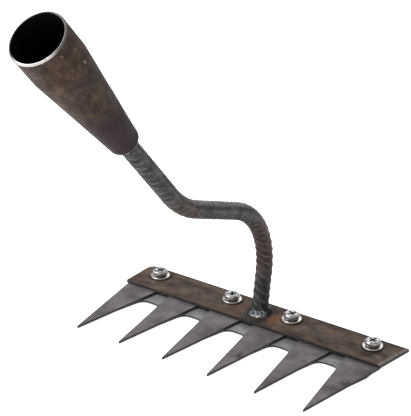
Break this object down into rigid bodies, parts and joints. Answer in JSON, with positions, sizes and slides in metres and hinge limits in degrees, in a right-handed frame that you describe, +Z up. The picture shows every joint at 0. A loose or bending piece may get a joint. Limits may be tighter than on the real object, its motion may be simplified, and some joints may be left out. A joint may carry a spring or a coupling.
{
  "type": "hand rake head",
  "caption": "Steel rake head with flat knife teeth clamped under a bar, a bent ribbed stem and a conical handle socket.",
  "frame": {"origin": "on the floor under the middle of the rake's bounding box, with the rake standing on its tooth tips and screw ends", "axes": "+Z up; +X along the tooth bar to the right as seen from behind the teeth, looking along +Y; the teeth and the socket mouth point toward -Y"},
  "size_m": [0.2936, 0.3386, 0.3509],
  "materials": {
    "scaled_steel": "brown mill scale",
    "rebar_steel": "dark rolled scale with rust",
    "blade_steel": "dull grey-purple tempered",
    "comb_steel": "dull grey",
    "weld_metal": "rippled weld bead",
    "zinc_plate": "bright zinc plate"
  },
  "bodies": {
    "root": {"socket": "scaled_steel", "stem": "rebar_steel", "socket_weld": "weld_metal", "foot_weld": "weld_metal", "tooth_bar": "scaled_steel", "comb_plate": "comb_steel", "blade_1": "blade_steel", "blade_2": "blade_steel", "blade_3": "blade_steel", "blade_4": "blade_steel", "blade_5": "blade_steel", "blade_6": "blade_steel", "screw_1": "zinc_plate", "screw_2": "zinc_plate", "screw_3": "zinc_plate", "screw_4": "zinc_plate", "lock_washer_1": "zinc_plate", "lock_washer_2": "zinc_plate", "lock_washer_3": "zinc_plate", "lock_washer_4": "zinc_plate", "flat_washer_1": "zinc_plate", "flat_washer_2": "zinc_plate", "flat_washer_3": "zinc_plate", "flat_washer_4": "zinc_plate", "nut_1": "zinc_plate", "nut_2": "zinc_plate", "nut_3": "zinc_plate", "nut_4": "zinc_plate"}
  },
  "joints": []
}
